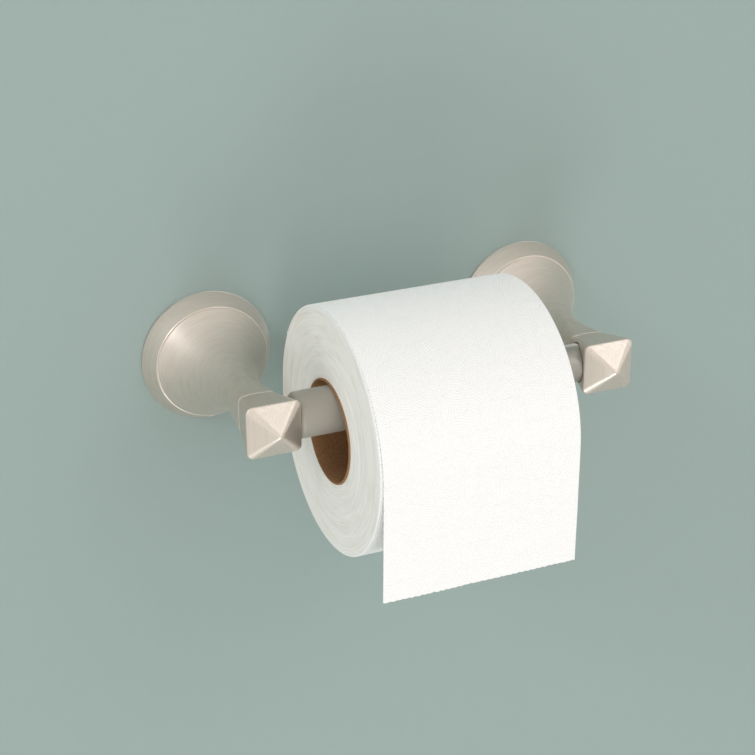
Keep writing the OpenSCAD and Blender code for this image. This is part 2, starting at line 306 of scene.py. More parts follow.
def round_places(tree, centre, across):
    """Place in millimetres from a centre, direction round the axis, and radius from it."""
    here = add(tree, "ShaderNodeTexCoord").outputs["Object"]
    local = add(tree, "ShaderNodeVectorMath", {0: here, 1: [c * MM for c in centre]},
                operation="SUBTRACT").outputs[0]
    mm = add(tree, "ShaderNodeVectorMath", {0: local, "Scale": 1 / MM},
             operation="SCALE").outputs[0]
    flat = add(tree, "ShaderNodeVectorMath", {0: mm, 1: across}, operation="MULTIPLY").outputs[0]
    radius = add(tree, "ShaderNodeVectorMath", {0: flat}, operation="LENGTH").outputs["Value"]
    way = add(tree, "ShaderNodeVectorMath", {0: flat}, operation="NORMALIZE").outputs[0]
    return mm, way, radius


# --- Finishes -------------------------------------------------------------------------------


def satin_nickel(name, centre_x, head=True):
    """Satin nickel plate on a zinc casting, buffed on a wheel: warm grey, with fine lines round
    the foot and trumpet and up and down the head, which blur every reflection along them."""
    line_mm = 0.45  # real buffing lines are near 0.1 mm, too fine to show
    stroke_mm = 30.0
    cloud_mm = 16.667
    breaks = 2.6  # how often a line fades and starts again on its way round
    material, tree, shader = begin(name)
    mm, way, radius = round_places(tree, (centre_x, 0, 0), (1, 0, 1))
    split = add(tree, "ShaderNodeSeparateXYZ", {0: mm}).outputs
    along = add(tree, "ShaderNodeMath", {0: radius, 1: split["Y"]}, operation="ADD").outputs[0]
    fine = add(tree, "ShaderNodeMath", {0: along, 1: 1 / line_mm}, operation="MULTIPLY").outputs[0]
    spread = add(tree, "ShaderNodeVectorMath", {0: way, "Scale": breaks},
                 operation="SCALE").outputs[0]
    upward = add(tree, "ShaderNodeCombineXYZ", {"Y": fine}).outputs[0]
    turning = add(tree, "ShaderNodeVectorMath", {0: spread, 1: upward}, operation="ADD").outputs[0]
    lines = add(tree, "ShaderNodeTexNoise",
                {"Vector": turning, "Scale": 1.0, "Detail": 3.0}).outputs[0]
    if head:
        stretch = (1 / line_mm, 0.6 / line_mm, 1 / stroke_mm)
        straight = add(tree, "ShaderNodeVectorMath", {0: mm, 1: stretch},
                       operation="MULTIPLY").outputs[0]
        up_lines = add(tree, "ShaderNodeTexNoise",
                       {"Vector": straight, "Scale": 1.0, "Detail": 3.0}).outputs[0]
        on_head = add(tree, "ShaderNodeMapRange",
                      {"Value": split["Y"], "From Min": 4 - waist_depth,
                       "From Max": -2 - waist_depth}).outputs[0]
        lines = add(tree, "ShaderNodeMix", {0: on_head, 2: lines, 3: up_lines}).outputs[0]
    cloud = add(tree, "ShaderNodeTexNoise",
                {"Vector": mm, "Scale": 1 / cloud_mm, "Detail": 2.0}).outputs[0]
    body = add(tree, "ShaderNodeMix", {0: cloud, 6: colour("#DAD0C5"), 7: colour("#E2D9CF")},
               data_type="RGBA").outputs[2]
    streak = add(tree, "ShaderNodeMapRange",
                 {"Value": lines, "From Min": 0.35, "From Max": 0.7, "To Max": 0.5}).outputs[0]
    base = add(tree, "ShaderNodeMix", {0: streak, 6: body, 7: colour("#C6BBAD")},
               data_type="RGBA").outputs[2]
    rough = add(tree, "ShaderNodeMapRange",
                {"Value": lines, "From Min": 0.3, "From Max": 0.7,
                 "To Min": 0.32, "To Max": 0.44}).outputs[0]
    bump = add(tree, "ShaderNodeBump",
               {"Height": lines, "Strength": 0.35, "Distance": 0.03 * MM}).outputs[0]
    fill(tree, shader,
         {"Base Color": base, "Metallic": 0.78, "Roughness": rough, "Normal": bump})
    return material


def metallic_paint(name, tone, dark, metallic, rough):
    """Metallic paint on moulded ABS: an even grey with a fine flake and a faint orange peel."""
    flake_mm, peel_mm = 0.2, 1.25
    material, tree, shader = begin(name)
    mm, _, _ = round_places(tree, (0, roller_y, roller_z), (0, 1, 1))
    flake = add(tree, "ShaderNodeTexNoise",
                {"Vector": mm, "Scale": 1 / flake_mm, "Detail": 2.0}).outputs[0]
    peel = add(tree, "ShaderNodeTexNoise",
               {"Vector": mm, "Scale": 1 / peel_mm, "Detail": 1.0}).outputs[0]
    base = add(tree, "ShaderNodeMix", {0: flake, 6: colour(tone), 7: colour(dark)},
               data_type="RGBA").outputs[2]
    roughness = add(tree, "ShaderNodeMapRange",
                    {"Value": peel, "From Min": 0.3, "From Max": 0.7,
                     "To Min": rough - 0.04, "To Max": rough + 0.05}).outputs[0]
    bump = add(tree, "ShaderNodeBump",
               {"Height": peel, "Strength": 0.2, "Distance": 0.04 * MM}).outputs[0]
    fill(tree, shader, {"Base Color": base, "Metallic": metallic, "Roughness": roughness,
                        "Normal": bump})
    return material


def grained(name, tone, dark, grain_mm, metallic, low, high, depth_mm):
    """Cast, plated, drawn or moulded stock: two tones and a roughness that follow one grain."""
    cloud_mm = 12 * grain_mm
    material, tree, shader = begin(name)
    here = add(tree, "ShaderNodeTexCoord").outputs["Object"]
    grain = add(tree, "ShaderNodeTexNoise",
                {"Vector": here, "Scale": 1 / (grain_mm * MM), "Detail": 4.0,
                 "Roughness": 0.6}).outputs[0]
    cloud = add(tree, "ShaderNodeTexNoise",
                {"Vector": here, "Scale": 1 / (cloud_mm * MM), "Detail": 2.0}).outputs[0]
    base = add(tree, "ShaderNodeMix", {0: cloud, 6: colour(tone), 7: colour(dark)},
               data_type="RGBA").outputs[2]
    rough = add(tree, "ShaderNodeMapRange",
                {"Value": grain, "From Min": 0.3, "From Max": 0.7,
                 "To Min": low, "To Max": high}).outputs[0]
    bump = add(tree, "ShaderNodeBump",
               {"Height": grain, "Strength": 0.5, "Distance": depth_mm * MM}).outputs[0]
    fill(tree, shader,
         {"Base Color": base, "Metallic": metallic, "Roughness": rough, "Normal": bump})
    return material


def kraft_board():
    """Brown kraft board wound on a slant: short pale and dark fibres, and the butt joint of the
    plies as a faint dark spiral."""
    strip_mm, joint_mm = 68.0, 0.9
    fibre_mm, patch_mm = 0.9091, 8.333
    material, tree, shader = begin("kraft_board")
    mm, _, _ = round_places(tree, (0, roll_y, roll_z), (0, 1, 1))
    split = add(tree, "ShaderNodeSeparateXYZ", {0: mm}).outputs
    fibres = add(tree, "ShaderNodeTexNoise",
                 {"Vector": mm, "Scale": 1 / fibre_mm, "Detail": 5.0, "Roughness": 0.7,
                  "Distortion": 1.2}).outputs[0]
    fibres = add(tree, "ShaderNodeMapRange",
                 {"Value": fibres, "From Min": 0.33, "From Max": 0.67}).outputs[0]
    patches = add(tree, "ShaderNodeTexNoise",
                  {"Vector": mm, "Scale": 1 / patch_mm, "Detail": 3.0}).outputs[0]
    base = add(tree, "ShaderNodeMix", {0: fibres, 6: colour("#BC8D64"), 7: colour("#714E2F")},
               data_type="RGBA").outputs[2]
    base = add(tree, "ShaderNodeMix", {0: patches, 6: base, 7: colour("#936E4A")},
               data_type="RGBA").outputs[2]
    turn = add(tree, "ShaderNodeMath", {0: split["Z"], 1: split["Y"]},
               operation="ARCTAN2").outputs[0]
    wound = add(tree, "ShaderNodeMath", {0: turn, 1: strip_mm / TAU, 2: split["X"]},
                operation="MULTIPLY_ADD").outputs[0]
    place = add(tree, "ShaderNodeMath", {0: wound, 1: strip_mm}, operation="WRAP").outputs[0]
    seam = add(tree, "ShaderNodeMapRange",
               {"Value": place, "From Max": joint_mm, "To Min": 1.0, "To Max": 0.0}).outputs[0]
    base = add(tree, "ShaderNodeMix", {0: seam, 6: base, 7: colour("#3E2611")},
               data_type="RGBA").outputs[2]
    bump = add(tree, "ShaderNodeBump",
               {"Height": fibres, "Strength": 0.6, "Distance": 0.12 * MM}).outputs[0]
    fill(tree, shader, {"Base Color": base, "Roughness": 0.92, "Specular IOR Level": 0.3,
                        "Normal": bump})
    return material


def embossed_tissue():
    """Two-ply tissue between embossing rolls: white, quite matt, with small dots set in curved
    rows that change direction from patch to patch. The low ground between the dots is painted
    a shade darker: painted shade."""
    row_mm, patch_mm, fuzz_mm = 1.2, 9.0, 0.4545
    aside_mm = 3 * patch_mm
    material, tree, shader = begin("embossed_tissue")
    cloth = add(tree, "ShaderNodeUVMap", uv_map="paper_mm").outputs[0]
    patch = add(tree, "ShaderNodeTexVoronoi",
                {"Vector": cloth, "Scale": 1 / patch_mm, "Randomness": 0.9},
                voronoi_dimensions="2D")
    # the rows of a patch curve round a point of its own, well outside it
    aside = add(tree, "ShaderNodeVectorMath",
                {0: patch.outputs["Color"], 1: (0.5, 0.5, 0.5)}, operation="SUBTRACT").outputs[0]
    aside = add(tree, "ShaderNodeVectorMath",
                {0: aside, 1: (aside_mm, aside_mm, 0)}, operation="MULTIPLY").outputs[0]
    centre = add(tree, "ShaderNodeVectorMath",
                 {0: patch.outputs["Position"], 1: aside}, operation="ADD").outputs[0]
    spoke = add(tree, "ShaderNodeVectorMath", {0: cloth, 1: centre},
                operation="SUBTRACT").outputs[0]
    reach = add(tree, "ShaderNodeVectorMath", {0: spoke}, operation="LENGTH").outputs["Value"]
    place = add(tree, "ShaderNodeMath", {0: reach, 1: row_mm}, operation="DIVIDE").outputs[0]
    wave = add(tree, "ShaderNodeMath", {0: place, 1: TAU}, operation="MULTIPLY").outputs[0]
    rows = add(tree, "ShaderNodeMath", {0: wave}, operation="COSINE").outputs[0]
    rows = add(tree, "ShaderNodeMapRange",
               {"Value": rows, "From Min": -1.0, "To Min": 1.0, "To Max": 0.0}).outputs[0]
    # every row holds six dots more than the one inside it, so they keep one spacing
    row = add(tree, "ShaderNodeMath", {0: place}, operation="FLOOR").outputs[0]
    count = add(tree, "ShaderNodeMath", {0: row, 1: 6.0}, operation="MULTIPLY").outputs[0]
    parts = add(tree, "ShaderNodeSeparateXYZ", {0: spoke}).outputs
    turn = add(tree, "ShaderNodeMath", {0: parts["Y"], 1: parts["X"]},
               operation="ARCTAN2").outputs[0]
    dots = add(tree, "ShaderNodeMath", {0: turn, 1: count}, operation="MULTIPLY").outputs[0]
    dots = add(tree, "ShaderNodeMath", {0: dots}, operation="COSINE").outputs[0]
    dots = add(tree, "ShaderNodeMapRange",
               {"Value": dots, "From Min": -1.0, "To Min": 0.3}).outputs[0]
    pattern = add(tree, "ShaderNodeMath", {0: dots, 1: rows}, operation="MULTIPLY").outputs[0]
    fuzz = add(tree, "ShaderNodeTexNoise",
               {"Vector": cloth, "Scale": 1 / fuzz_mm, "Detail": 3.0,
                "Roughness": 0.7}).outputs[0]
    height = add(tree, "ShaderNodeMath", {0: fuzz, 1: 0.3, 2: pattern},
                 operation="MULTIPLY_ADD").outputs[0]
    # painted shade: the colour darkens where the emboss lies low, between the dots and rows
    base = add(tree, "ShaderNodeMix", {0: pattern, 6: colour("#F1F1F0"), 7: colour("#FCFCFB")},
               data_type="RGBA").outputs[2]
    bump = add(tree, "ShaderNodeBump",
               {"Height": height, "Strength": 0.8, "Distance": 0.3 * MM}).outputs[0]
    fill(tree, shader, {"Base Color": base, "Roughness": 0.95, "Specular IOR Level": 0.15,
                        "Sheen Weight": 0.12, "Normal": bump})
    return material


def wound_tissue():
    """The cut ends of the wound paper: hundreds of soft edges, off-white, with faint grey-beige
    arcs of painted shade where layers stand a little in or out."""
    layer_mm = 0.55  # real layers are near 0.2 mm, too fine to show
    arc_mm = 2.381
    material, tree, shader = begin("wound_tissue")
    mm, way, radius = round_places(tree, (0, roll_y, roll_z), (0, 1, 1))
    sweep = add(tree, "ShaderNodeVectorMath", {0: way, "Scale": 2.0}, operation="SCALE").outputs[0]
    fine = add(tree, "ShaderNodeMath", {0: radius, 1: 1 / layer_mm},
               operation="MULTIPLY").outputs[0]
    fine_step = add(tree, "ShaderNodeCombineXYZ", {"X": fine}).outputs[0]
    layers_at = add(tree, "ShaderNodeVectorMath", {0: sweep, 1: fine_step},
                    operation="ADD").outputs[0]
    layers = add(tree, "ShaderNodeTexNoise",
                 {"Vector": layers_at, "Scale": 1.0, "Detail": 3.0}).outputs[0]
    broad = add(tree, "ShaderNodeMath", {0: radius, 1: 1 / arc_mm},
                operation="MULTIPLY").outputs[0]
    broad_step = add(tree, "ShaderNodeCombineXYZ", {"X": broad}).outputs[0]
    arcs_at = add(tree, "ShaderNodeVectorMath", {0: sweep, 1: broad_step},
                  operation="ADD").outputs[0]
    arcs = add(tree, "ShaderNodeTexNoise",
               {"Vector": arcs_at, "Scale": 1.3, "Detail": 4.0, "Roughness": 0.65}).outputs[0]
    # painted shade: grey-beige arcs where layers stand a little in or out
    arc_shade = add(tree, "ShaderNodeMapRange",
                {"Value": arcs, "From Min": 0.5, "From Max": 0.75, "To Max": 0.6}).outputs[0]
    lines = add(tree, "ShaderNodeMapRange",
                {"Value": layers, "From Min": 0.35, "From Max": 0.65}).outputs[0]
    base = add(tree, "ShaderNodeMix", {0: lines, 6: colour("#F6F5F1"), 7: colour("#ECEBE5")},
               data_type="RGBA").outputs[2]
    base = add(tree, "ShaderNodeMix", {0: arc_shade, 6: base, 7: colour("#DAD5C7")},
               data_type="RGBA").outputs[2]
    bump = add(tree, "ShaderNodeBump",
               {"Height": layers, "Strength": 0.3, "Distance": 0.2 * MM}).outputs[0]
    fill(tree, shader, {"Base Color": base, "Roughness": 0.97, "Specular IOR Level": 0.12,
                        "Sheen Weight": 0.1, "Normal": bump})
    return material


def one_sided_wall():
    """Matt wall paint put on with a roller, which leaves a fine nap. Seen only from the front."""
    nap_mm = 2.222
    material, tree, shader = begin("wall_paint")
    here = add(tree, "ShaderNodeTexCoord").outputs["Object"]
    nap = add(tree, "ShaderNodeTexNoise",
              {"Vector": here, "Scale": 1 / (nap_mm * MM), "Detail": 3.0}).outputs[0]
    bump = add(tree, "ShaderNodeBump",
               {"Height": nap, "Strength": 0.25, "Distance": 0.3 * MM}).outputs[0]
    fill(tree, shader, {"Base Color": colour("#96A6A2"), "Roughness": 0.9,
                        "Specular IOR Level": 0.2, "Normal": bump})
    behind = add(tree, "ShaderNodeNewGeometry").outputs["Backfacing"]
    clear = add(tree, "ShaderNodeBsdfTransparent").outputs[0]
    mixed = add(tree, "ShaderNodeMixShader",
                {0: behind, 1: shader.outputs[0], 2: clear}).outputs[0]
    out = next(n for n in tree.nodes if n.type == "OUTPUT_MATERIAL")
    tree.links.new(mixed, out.inputs["Surface"])
    return material


def pale_floor():
    """Pale sealed screed with a faint speckle."""
    speck_mm = 16.667
    material, tree, shader = begin("pale_floor")
    here = add(tree, "ShaderNodeTexCoord").outputs["Object"]
    speck = add(tree, "ShaderNodeTexNoise",
                {"Vector": here, "Scale": 1 / (speck_mm * MM), "Detail": 2.0}).outputs[0]
    tint = add(tree, "ShaderNodeMix", {0: speck, 6: colour("#ECEDEA"), 7: colour("#E6E7E4")},
               data_type="RGBA").outputs[2]
    fill(tree, shader, {"Base Color": tint, "Roughness": 0.8})
    return material


def finish_piece(piece, material, body, stands_for=()):
    """Gives a piece its material and slot, puts it on what it rides on, and hides the parts it
    stands for.
    """
    piece.data.materials.clear()
    piece.data.materials.append(material)
    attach(piece, body)
    if stands_for:
        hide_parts(*stands_for)
    return piece


# --- Posts and flanges ----------------------------------------------------------------------


def trumpet_r(depth):
    left = max(0.0, 1 - (depth - foot_top) / (trumpet_end - foot_top))
    return waist_r + (foot_r - foot_inset - waist_r) * left ** 1.9


def post_sections():
    """Sections (depth, half width, half height, corner, bow) from the hollow's end round its back
    edge, up the spigot and the fine step, along the trumpet and out to the point. The bow is how
    far the middle of each side lies behind its corners."""
    back, edge, foot_edge = 0.2, 0.1, 0.12
    thin, step_len, step_in = 0.06, 0.13, 0.14
    neck_corner, flare_corner, flare_power = 2.6, 2.5, 1.03
    rim_turn, blunt, tip_half, ridge_corner = math.radians(56), 1.1, 0.06, 0.9

    def disc(depth, r):
        return depth, r, r, r, 0

    out = [disc(d, trumpet_r(d) - cast_wall) for d in span(hollow_depth, foot_top + 1, 8)]
    out += [disc(cavity_depth, cavity_r), disc(back + edge, cavity_r), disc(back, cavity_r + edge)]
    out += [disc(back, spigot_r - back), disc(2 * back, spigot_r), disc(flange_h, spigot_r)]
    out += [disc(flange_h, foot_r - foot_edge), disc(flange_h + edge, foot_r)]
    out += [disc(foot_top - foot_edge, foot_r), disc(foot_top - 0.03, foot_r - 0.05)]
    for t in span(0, 1, 26):
        depth = foot_top + (round_depth - foot_top) * t
        out.append(disc(depth, trumpet_r(depth)))

    # the neck turns square on its way to the crease
    for t in span(0, 1, 34)[1:]:
        depth = round_depth + (crease_depth - round_depth) * t
        r = trumpet_r(depth) - thin * min(1, t * 4)
        out.append((depth, r, r, r + (neck_corner - r) * t ** 2.5, crease_bow * t ** 4))

    # a fine step faces the front all round the crease
    lip = waist_r - thin
    out.append((crease_depth + 0.08, lip - 0.03, lip - 0.03, 2.55, crease_bow))
    start, flare_start, flare_end = lip - step_in, crease_depth + step_len, rim_depth - rim_round
    out.append((flare_start, start, start, flare_corner, crease_bow))

    for t in span(0, 1, 26)[1:]:
        flare = t ** flare_power
        out.append((flare_start + (flare_end - flare_start) * t,
                    start + (head_half_w - start) * flare,
                    start + (head_half_h - start) * flare,
                    flare_corner + (head_corner_r - flare_corner) * t,
                    crease_bow * (1 - t) ** 2))
    for angle in span(0, rim_turn, 5)[1:]:
        inset = rim_round * (1 - math.cos(angle))
        out.append((rim_depth - rim_round * (1 - math.sin(angle)), head_half_w - inset,
                    head_half_h - inset, head_corner_r - inset, 0))

    # the faces run straight and the point is a little blunt
    depth, w, h, corner, _ = out[-1]
    rise = (apex_depth - depth) / (math.hypot(w, blunt) - blunt)
    for t in span(0, 1, 30)[1:]:
        half = w + (tip_half - w) * t
        high = h + (tip_half - h) * t
        here = apex_depth - rise * (math.hypot(half, blunt) - blunt)
        ridge = min(corner + (ridge_corner - corner) * t ** 1.5, half * 0.95)
        out.append((here, half, high, ridge, 0))
    return out


def screw_way(x, r):
    """The cutter for the set screw's way, up through the flange and the foot from below."""
    outside, inside = (x, -screw_depth, -flange_r - 1), (x, -screw_depth, 1 - cavity_r)
    return bar("screw_way", r, outside, inside, 48)


def post(side, name, material):
    n, sharp, play = 144, 24, 0.05
    x = side * post_x
    sections = post_sections()
    middles = np.cos(2 * TAU * (np.arange(n) + 0.5) / n) ** 2
    points = []
    for depth, half_w, half_h, corner, bow in sections:
        px, pz = square_ring(half_w, half_h, corner, n)
        points += [(x + px[i], bow * middles[i] - depth, pz[i]) for i in range(n)]
    body = made(name + "_casting", points, rings_to_faces(len(sections), n, False), sharp)
    inner = (side * (recess_x - 30), roller_y, roller_z)
    bearing = (side * recess_x, roller_y, roller_z)
    socket_end = (side * (liner_high.x + play), roller_y, roller_z)
    cut(body, [bar("recess", recess_r, inner, bearing),
               bar("socket", liner_r + play, inner, socket_end),
               screw_way(x, 2.05)], sharp)
    return finish_piece(body, material, "posts", [name])


def flange(side, name, material):
    collar, roof, slope_end = 1.8, 3.2, 0.25
    groove_top = flange_h - roof
    outline = [(flange_bore_r, 0, 0), (flange_bore_r + collar, 0, 0.2),
               (flange_bore_r + collar, groove_top, 0.4), (foot_r + 0.4, groove_top, 0.4),
               (flange_r - 2, 0, 0.2), (flange_r, 0, 0.25), (flange_r, 0.8, 0.3),
               (foot_r + 0.5, flange_h - slope_end, 0.2), (foot_r + 0.2, flange_h, 0.08),
               (flange_bore_r, flange_h, 0.1), (flange_bore_r, 0.1, 0)]
    ring = turned(name + "_ring", eased(outline), "Y", (side * post_x, 0), 192, closed=True)
    cut(ring, [screw_way(side * post_x, 2.4)])
    return finish_piece(ring, material, "posts", [name])


# --- Screws and spring ----------------------------------------------------------------------


screw_head_r = 4.0


def wall_screw(name, x, z, material):
    """A pan-head wood screw with a cross recess. Its thread is a true helix."""
    n, pitch, core, crest_h, lead_in = 40, 1.9, 1.38, 0.6, 5.0
    tip = box_mm("right_wall_screws")[1].y
    seat = 3.05
    top = seat + 2.4
    rows = [(-tip, 0.15), (-tip + 0.6, 0.5)]
    rows += [(d, None) for d in np.arange(-tip + 1.0, -0.6, 0.24)]
    rows += [(-0.4, 1.7), (seat - 0.2, 1.65), (seat, 1.9)]
    rows += [(seat, screw_head_r - 0.1), (seat + 0.3, screw_head_r)]
    rows += [(seat + 1.0, screw_head_r - 0.1), (seat + 1.6, 3.5), (seat + 2.1, 2.7)]
    rows += [(top - 0.05, 1.6), (top, 0.3)]
    points = []
    for depth, r in rows:
        for i in range(n):
            angle = TAU * i / n
            if r is None:
                full = min(1.0, (depth + tip) / lead_in)
                turn = (depth / pitch - i / n) % 1.0
                crest = max(0.0, 1 - abs(turn - 0.5) / 0.28)
                radius = (core + crest_h * crest) * (0.35 + 0.65 * full)
            else:
                radius = r
            points.append((x + radius * math.cos(angle), -depth, z + radius * math.sin(angle)))
    screw = made(name, points, rings_to_faces(len(rows), n, False))
    cutters = []
    for w, l in ((2.1, 0.5), (0.5, 2.1)):
        corners = [(x + sx * w * k, -depth, z + sz * l * k)
                   for depth, k in ((top - 1.5, 0.75), (top + 1, 1.15))
                   for sx, sz in ((-1, -1), (1, -1), (1, 1), (-1, 1))]
        cutters.append(made("slot", corners, rings_to_faces(2, 4, False)))
    cut(screw, cutters)
    return finish_piece(screw, material, "posts")


def roller_spring(material):
    """Closed-end compression spring."""
    wire_r, turns, steps, sides, closed = 0.6, 17, 28, 10, 0.02
    coil_r = (spring_high.z - spring_low.z) / 2 - wire_r
    start, end = spring_low.x + wire_r, spring_high.x - wire_r
    flat = 1 / turns
    points = []
    for i in range(turns * steps + 1):
        t = i / (turns * steps)
        if t < flat:
            rise = closed * t / flat
        elif t > 1 - flat:
            rise = 1 - closed * (1 - t) / flat
        else:
            rise = closed + (1 - 2 * closed) * (t - flat) / (1 - 2 * flat)
        x, angle = start + (end - start) * rise, TAU * i / steps
        for k in range(sides):
            a = TAU * k / sides
            r = coil_r + wire_r * math.cos(a)
            points.append((x + wire_r * math.sin(a), roller_y + r * math.cos(angle),
                           roller_z + r * math.sin(angle)))
    count = turns * steps + 1
    spring = made("roller_spring_wire", points, rings_to_faces(count, sides, False), 60)
    finish_piece(spring, material, "roller_outer", ["roller_spring"])
    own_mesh(spring)
    return spring


# --- Roller ---------------------------------------------------------------------------------


def roller_sleeve(material):
    """The wide half: a closed tip, a rounded shoulder and an open bore for the other half."""
    end_gap, shoulder_in, shoulder_len = 0.8, 4.4, 3
    end_x, open_x = head_half_w - post_x - end_gap, sleeve_high.x
    bore = plunger_r + running_gap
    floor_x = spring_low.x - 0.05
    profile = [(0.02, sleeve_low.x)]
    profile += [(tip_r - back, sleeve_low.x + along) for back, along in tip_edge]
    profile += [(tip_r, end_x)]
    profile += [(sleeve_r - shoulder_in * (1 - math.sin(a)),
                 end_x + shoulder_len * (1 - math.cos(a))) for a in span(0, math.pi / 2, 12)]
    profile += [(sleeve_r, x) for x in span(end_x + 5, open_x - 0.5, 12)]
    profile += [(sleeve_r - 0.12, open_x - 0.12), (sleeve_r - 0.4, open_x), (bore + 0.1, open_x),
                (bore, open_x - 0.2), (bore, floor_x), (0.02, floor_x)]
    tube = turned("roller_wide_half", profile, "X", (roller_y, roller_z), 128)
    return finish_piece(tube, material, "roller_outer", ["roller_sleeve"])


def roller_plunger(material):
    """The sliding half: a tube with a solid end, and a tip that turns in the right socket."""
    wall, plug, pocket_x, bore_r = 1.5, 4, 24.0, 4.6
    inner_x, tip_x = plunger_low.x, plunger_high.x
    pocket_r = plunger_r - wall
    end_x = tip_x - tip_len
    profile = [(pocket_r, inner_x), (plunger_r - 0.5, inner_x), (plunger_r - 0.15, inner_x + 0.15)]
    profile += [(plunger_r, x) for x in span(inner_x + 0.5, end_x - 0.6, 14)]
    profile += [(plunger_r - 0.1, end_x - 0.25), (plunger_r - 0.5, end_x), (tip_r, end_x)]
    profile += [(tip_r - back, tip_x - along) for back, along in reversed(tip_edge)]
    profile += [(0.02, tip_x), (0.02, end_x - plug), (bore_r, end_x - plug), (bore_r, pocket_x),
                (pocket_r, pocket_x)]
    tube = turned("roller_sliding_half", profile, "X", (roller_y, roller_z), 128, closed=True)
    return finish_piece(tube, material, "roller_inner", ["roller_plunger"])


def socket_liner(side, name, material):
    """A flanged cup pressed into the head, which the roller's tip turns in."""
    play = 0.05
    start, seat, end = liner_low.x, recess_x - play, liner_high.x
    rim, floor = recess_r - play, end - liner_wall
    outline = [(0.02, floor, 0), (liner_bore_r, floor, 0.2), (liner_bore_r, start, 0.3),
               (rim, start, 0.25), (rim, seat, 0.1), (liner_r, seat, 0.1), (liner_r, end, 0.3),
               (0.02, end, 0)]
    profile = [(r, side * x) for r, x in eased(outline)]
    cup = turned(name + "_cup", profile, "X", (roller_y, roller_z), 96)
    return finish_piece(cup, material, "posts", [name])


# --- Paper ----------------------------------------------------------------------------------


def paper_roll(face, ends):
    """The wound paper: its end faces are slightly uneven from layer to layer and dip a little
    near the core, and its outer edges are soft."""
    edge_r, edge_in, side_w = 0.7, 0.3, 2.5
    inner = core_out_r + 0.05
    left, right = roll_low.x, roll_high.x
    radii = [inner] + list(np.linspace(inner + 0.6, roll_r - edge_r, 48))
    edge = [(roll_r - edge_r + 0.65 * math.sin(a), 0.5 * (1 - math.cos(a)))
            for a in span(0.25, math.pi / 2 - 0.1, 5)]
    profile = [(r, left) for r in radii] + [(r, left + d) for r, d in edge]
    profile += [(roll_r - 0.05, x) for x in span(left + 3, right - 3, 26)]
    profile += [(r, right - d) for r, d in reversed(edge)] + [(r, right) for r in reversed(radii)]

    def ripple(r, x, angle):
        c, s = math.cos(angle), math.sin(angle)
        out = -0.14 * (0.5 + 0.5 * drift(c * 1.6, s * 1.6, x / 30))
        if left + side_w < x < right - side_w:
            return out, 0
        inward = 1 if x < 0 else -1
        layer = 0.16 * drift(r / 1.1, inward * 7.0, c * 0.5)
        sweep = 0.22 * drift(c * 1.3, s * 1.3, r / 9 + inward * 3)
        dip = 0.35 * math.exp(-(r - core_out_r) / 4.0)
        soft = min(1.0, (r - inner) / 1.5)
        return (out if r > roll_r - 4 else 0), inward * (edge_in + (layer + sweep) * soft + dip)

    roll = turned("paper_windings", profile, "X", (roll_y, roll_z), 224, closed=True,
                  ripple=ripple, sharp=60)
    mesh = roll.data
    mesh.materials.append(ends)
    mesh.materials.append(face)
    uv = mesh.uv_layers.new(name="paper_mm")
    for polygon in mesh.polygons:
        places = [mesh.vertices[v].co / MM for v in polygon.vertices]
        middle = sum(places, Vector()) / len(places)
        outside = math.hypot(middle.y - roll_y, middle.z - roll_z) > roll_r - 1.0
        polygon.material_index = 1 if outside else 0
        whole = math.atan2(middle.z - roll_z, middle.y - roll_y)
        for loop, p in zip(polygon.loop_indices, places):
            angle = math.atan2(p.z - roll_z, p.y - roll_y)
            # a face across the join keeps its corners together
            angle += TAU if angle < whole - math.pi else -TAU if angle > whole + math.pi else 0
            uv.data[loop].uv = (p.x, angle * roll_r)
    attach(roll, "roll")
    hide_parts("paper_roll")
    return roll


def roll_core(material):
    """The cardboard tube, its cut ends a little furry."""
    edge, fur_h = 0.12, 0.07
    left, right = core_low.x, core_high.x
    profile = [(core_r, x) for x in span(left + 0.15, right - 0.15, 16)]
    profile += [(core_r + edge, right), (core_out_r - edge, right), (core_out_r, right - 0.15)]
    profile += [(core_out_r, left + 0.15), (core_out_r - edge, left), (core_r + edge, left)]

    def ripple(r, x, angle):
        c, s = math.cos(angle), math.sin(angle)
        fur = fur_h * drift(c * 40, s * 40, x) if min(x - left, right - x) < 0.3 else 0
        return 0.05 * drift(c * 2, s * 2, x / 12) - 0.02, fur

    tube = turned("core_tube", profile, "X", (roll_y, roll_z), 192, closed=True,
                  ripple=ripple, sharp=50)
    return finish_piece(tube, material, "roll", ["roll_core"])


